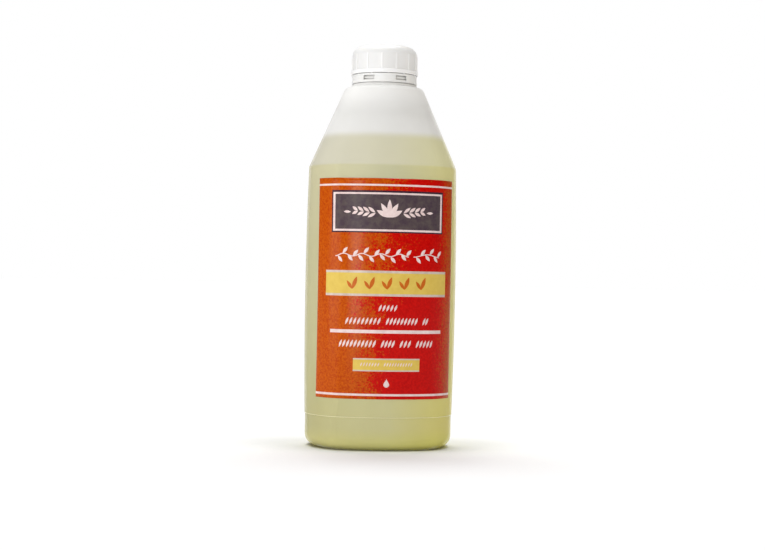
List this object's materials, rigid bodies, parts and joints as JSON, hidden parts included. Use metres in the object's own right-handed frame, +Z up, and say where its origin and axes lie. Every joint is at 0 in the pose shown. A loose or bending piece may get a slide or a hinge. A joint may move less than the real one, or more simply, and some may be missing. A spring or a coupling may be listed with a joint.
{
  "type": "oil bottle with screw cap",
  "caption": "Blow-moulded plastic oil bottle with a tapered shoulder, a front label, and a ribbed screw cap over a tamper band.",
  "frame": {"origin": "centre of the base, on the surface that the bottle stands on", "axes": "+Z up along the neck, the front and its label face -Y, +X to the right seen from the front"},
  "size_m": [0.0922, 0.0794, 0.2451],
  "materials": {
    "bottle_plastic": "natural polyethylene, milky and see-through, satin",
    "oil": "pale yellow-green clear oil",
    "label": "semi-gloss printed film, red with pale lines and gold bands",
    "cap_plastic": "white moulded polyethylene, satin",
    "liner_foam": "white closed-cell foam"
  },
  "bodies": {
    "bottle": {"bottle": "bottle_plastic", "oil": "oil", "front_label": "label"},
    "liner": {"cap_liner": "liner_foam"},
    "cap": {"cap": "cap_plastic"},
    "band": {"tamper_band": "cap_plastic"}
  },
  "joints": [
    {"name": "cap_lift", "type": "slide", "parent": "bottle", "child": "liner", "axis": [0, 0, 1], "range_m": [0, 0.017]},
    {"name": "cap_turn", "type": "hinge", "parent": "liner", "child": "cap", "pos_m": [0, 0, 0.2266], "axis": [0, 0, 1], "range_deg": [0, 1440]},
    {"name": "band_spin", "type": "hinge", "parent": "bottle", "child": "band", "pos_m": [0, 0, 0.2235], "axis": [0, 0, 1], "continuous": true}
  ],
  "couplings": [
    {"joint": "cap_lift", "follows": "cap_turn", "m_per_rad": 0.0006737}
  ]
}
